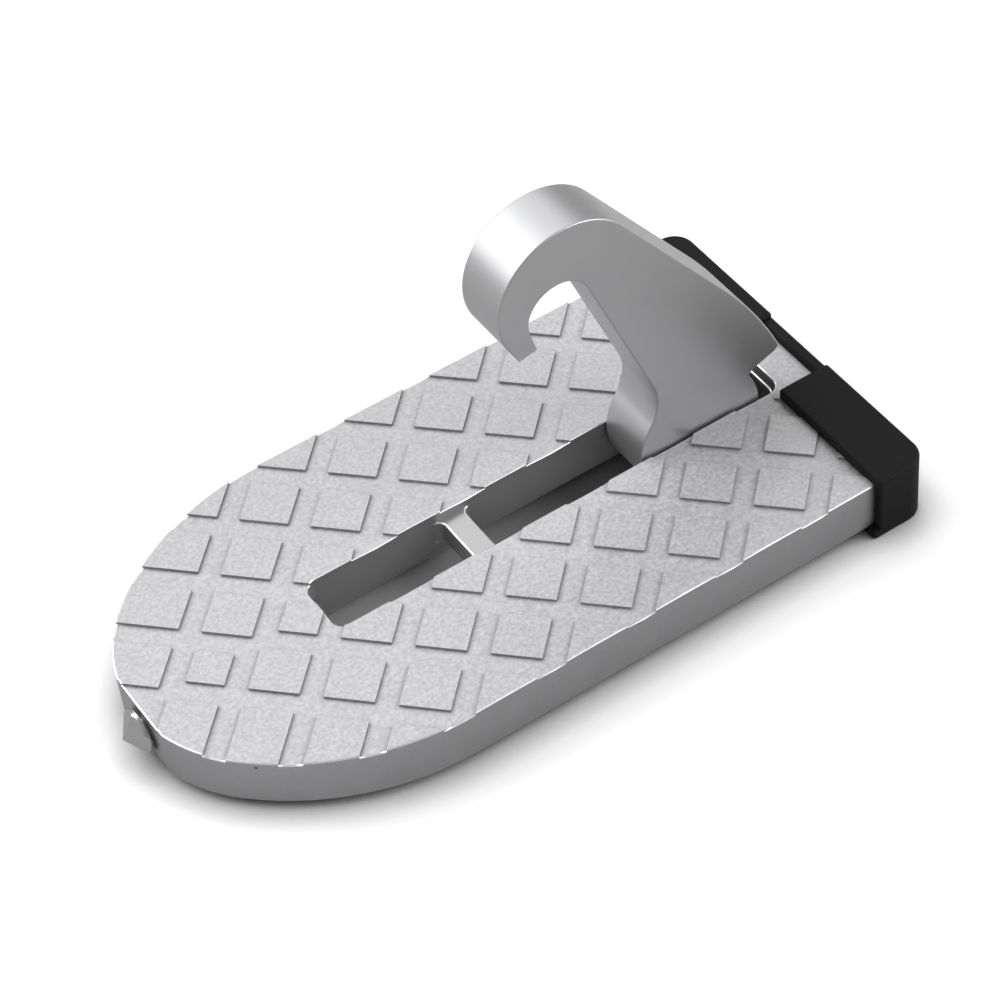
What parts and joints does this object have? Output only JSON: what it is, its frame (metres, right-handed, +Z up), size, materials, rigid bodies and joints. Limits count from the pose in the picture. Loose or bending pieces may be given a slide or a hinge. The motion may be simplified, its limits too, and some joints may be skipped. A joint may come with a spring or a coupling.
{
  "type": "car door latch step",
  "caption": "Folding step with a square-tread plate, a rubber rear edge and a pivoting hook that hangs on a car door striker.",
  "frame": {"origin": "under the middle of the part, level with the underside of the rubber strip's lower lip", "axes": "+X from the nose with the hammer tip to the rubber end, +Y across the plate along the hinge pin, +Z up out of the tread"},
  "size_m": [0.1712, 0.089, 0.089],
  "materials": {
    "platform": "blasted satin",
    "hook_arm": "satin",
    "hinge_pin": "ground",
    "rubber_strip": "matt",
    "hammer_tip": "ground"
  },
  "bodies": {
    "platform": {"platform": "platform", "hinge_pin": "hinge_pin", "rubber_strip": "rubber_strip", "hammer_tip": "hammer_tip"},
    "hook": {"hook_arm": "hook_arm"}
  },
  "joints": [
    {"name": "hook_hinge", "type": "hinge", "parent": "platform", "child": "hook", "pos_m": [0.05405, 0, 0.00825], "axis": [0, -1, 0], "range_deg": [-27.5, 62.5]}
  ]
}
